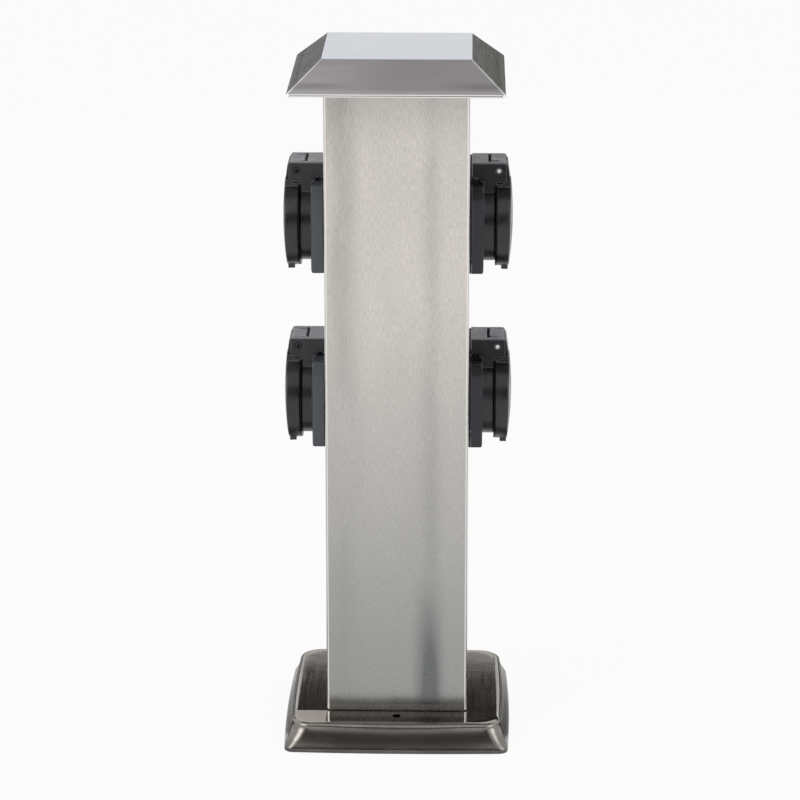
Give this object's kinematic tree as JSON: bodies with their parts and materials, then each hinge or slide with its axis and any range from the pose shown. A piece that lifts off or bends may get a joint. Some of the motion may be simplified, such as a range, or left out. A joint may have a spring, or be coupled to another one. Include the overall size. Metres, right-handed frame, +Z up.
{
  "type": "garden socket post",
  "caption": "Square steel garden post on a pressed base, with a hipped roof cap and round spring-lidded plug sockets on two sides.",
  "frame": {"origin": "centre of the base's footprint on the ground", "axes": "+Z up along the column; the sockets face +X and -X; the front seen in the picture faces -Y"},
  "size_m": [0.1296, 0.1296, 0.3939],
  "materials": {
    "column_steel": "upright brushed grain",
    "roof_steel": "fine brushed grain",
    "base_steel": "satin, darker than the column",
    "zinc_steel": "zinc plated",
    "pin_steel": "polished",
    "black_plastic": "fine satin grain",
    "insert_plastic": "satin",
    "black_rubber": "matte",
    "ivory_plastic": "matte",
    "brass": "plain",
    "brown_wire": "smooth insulation",
    "blue_wire": "smooth insulation",
    "green_wire": "smooth insulation"
  },
  "bodies": {
    "post": {"base_cover": "base_steel", "column": "column_steel", "foot_plate": "zinc_steel", "base_screws": "zinc_steel", "base_nuts": "zinc_steel", "roof_cap": "roof_steel", "cap_bracket": "zinc_steel", "cap_screws": "zinc_steel", "cable_grommet": "black_rubber", "terminal_bracket": "zinc_steel", "terminal_block": "ivory_plastic", "terminal_block_screws": "zinc_steel", "cable_clamp": "black_plastic", "cable_clamp_screws": "zinc_steel", "earth_stud": "brass", "earth_nut": "brass", "flange_screws": "zinc_steel", "terminal_screws": "zinc_steel", "live_wires": "brown_wire", "neutral_wires": "blue_wire", "earth_wires": "green_wire", "socket_housing_left_upper": "black_plastic", "socket_housing_left_lower": "black_plastic", "socket_housing_right_upper": "black_plastic", "socket_housing_right_lower": "black_plastic", "contact_insert_left_upper": "insert_plastic", "contact_insert_left_lower": "insert_plastic", "contact_insert_right_upper": "insert_plastic", "contact_insert_right_lower": "insert_plastic", "flange_gasket_left_upper": "black_rubber", "flange_gasket_left_lower": "black_rubber", "flange_gasket_right_upper": "black_rubber", "flange_gasket_right_lower": "black_rubber", "earth_contact_left_upper": "brass", "earth_contact_left_lower": "brass", "earth_contact_right_upper": "brass", "earth_contact_right_lower": "brass", "line_contacts_left_upper": "brass", "line_contacts_left_lower": "brass", "line_contacts_right_upper": "brass", "line_contacts_right_lower": "brass", "hinge_pin_left_upper": "pin_steel", "hinge_pin_left_lower": "pin_steel", "hinge_pin_right_upper": "pin_steel", "hinge_pin_right_lower": "pin_steel", "lid_spring_left_upper": "pin_steel", "lid_spring_left_lower": "pin_steel", "lid_spring_right_upper": "pin_steel", "lid_spring_right_lower": "pin_steel"},
    "lid_body_left_upper": {"lid_left_upper": "black_plastic", "lid_seal_left_upper": "black_rubber"},
    "lid_body_left_lower": {"lid_left_lower": "black_plastic", "lid_seal_left_lower": "black_rubber"},
    "lid_body_right_upper": {"lid_right_upper": "black_plastic", "lid_seal_right_upper": "black_rubber"},
    "lid_body_right_lower": {"lid_right_lower": "black_plastic", "lid_seal_right_lower": "black_rubber"}
  },
  "joints": [
    {"name": "lid_hinge_left_upper", "type": "hinge", "parent": "post", "child": "lid_body_left_upper", "pos_m": [-0.0561, 0, 0.3263], "axis": [0, 1, 0], "range_deg": [0, 110], "stiffness_Nm_per_rad": 0.012, "springref_deg": -28.65, "deforming": ["lid_spring_left_upper"]},
    {"name": "lid_hinge_left_lower", "type": "hinge", "parent": "post", "child": "lid_body_left_lower", "pos_m": [-0.0561, 0, 0.2254], "axis": [0, 1, 0], "range_deg": [0, 110], "stiffness_Nm_per_rad": 0.012, "springref_deg": -28.65, "deforming": ["lid_spring_left_lower"]},
    {"name": "lid_hinge_right_upper", "type": "hinge", "parent": "post", "child": "lid_body_right_upper", "pos_m": [0.0561, 0, 0.3263], "axis": [0, -1, 0], "range_deg": [0, 110], "stiffness_Nm_per_rad": 0.012, "springref_deg": -28.65, "deforming": ["lid_spring_right_upper"]},
    {"name": "lid_hinge_right_lower", "type": "hinge", "parent": "post", "child": "lid_body_right_lower", "pos_m": [0.0561, 0, 0.2254], "axis": [0, -1, 0], "range_deg": [0, 110], "stiffness_Nm_per_rad": 0.012, "springref_deg": -28.65, "deforming": ["lid_spring_right_lower"]}
  ]
}
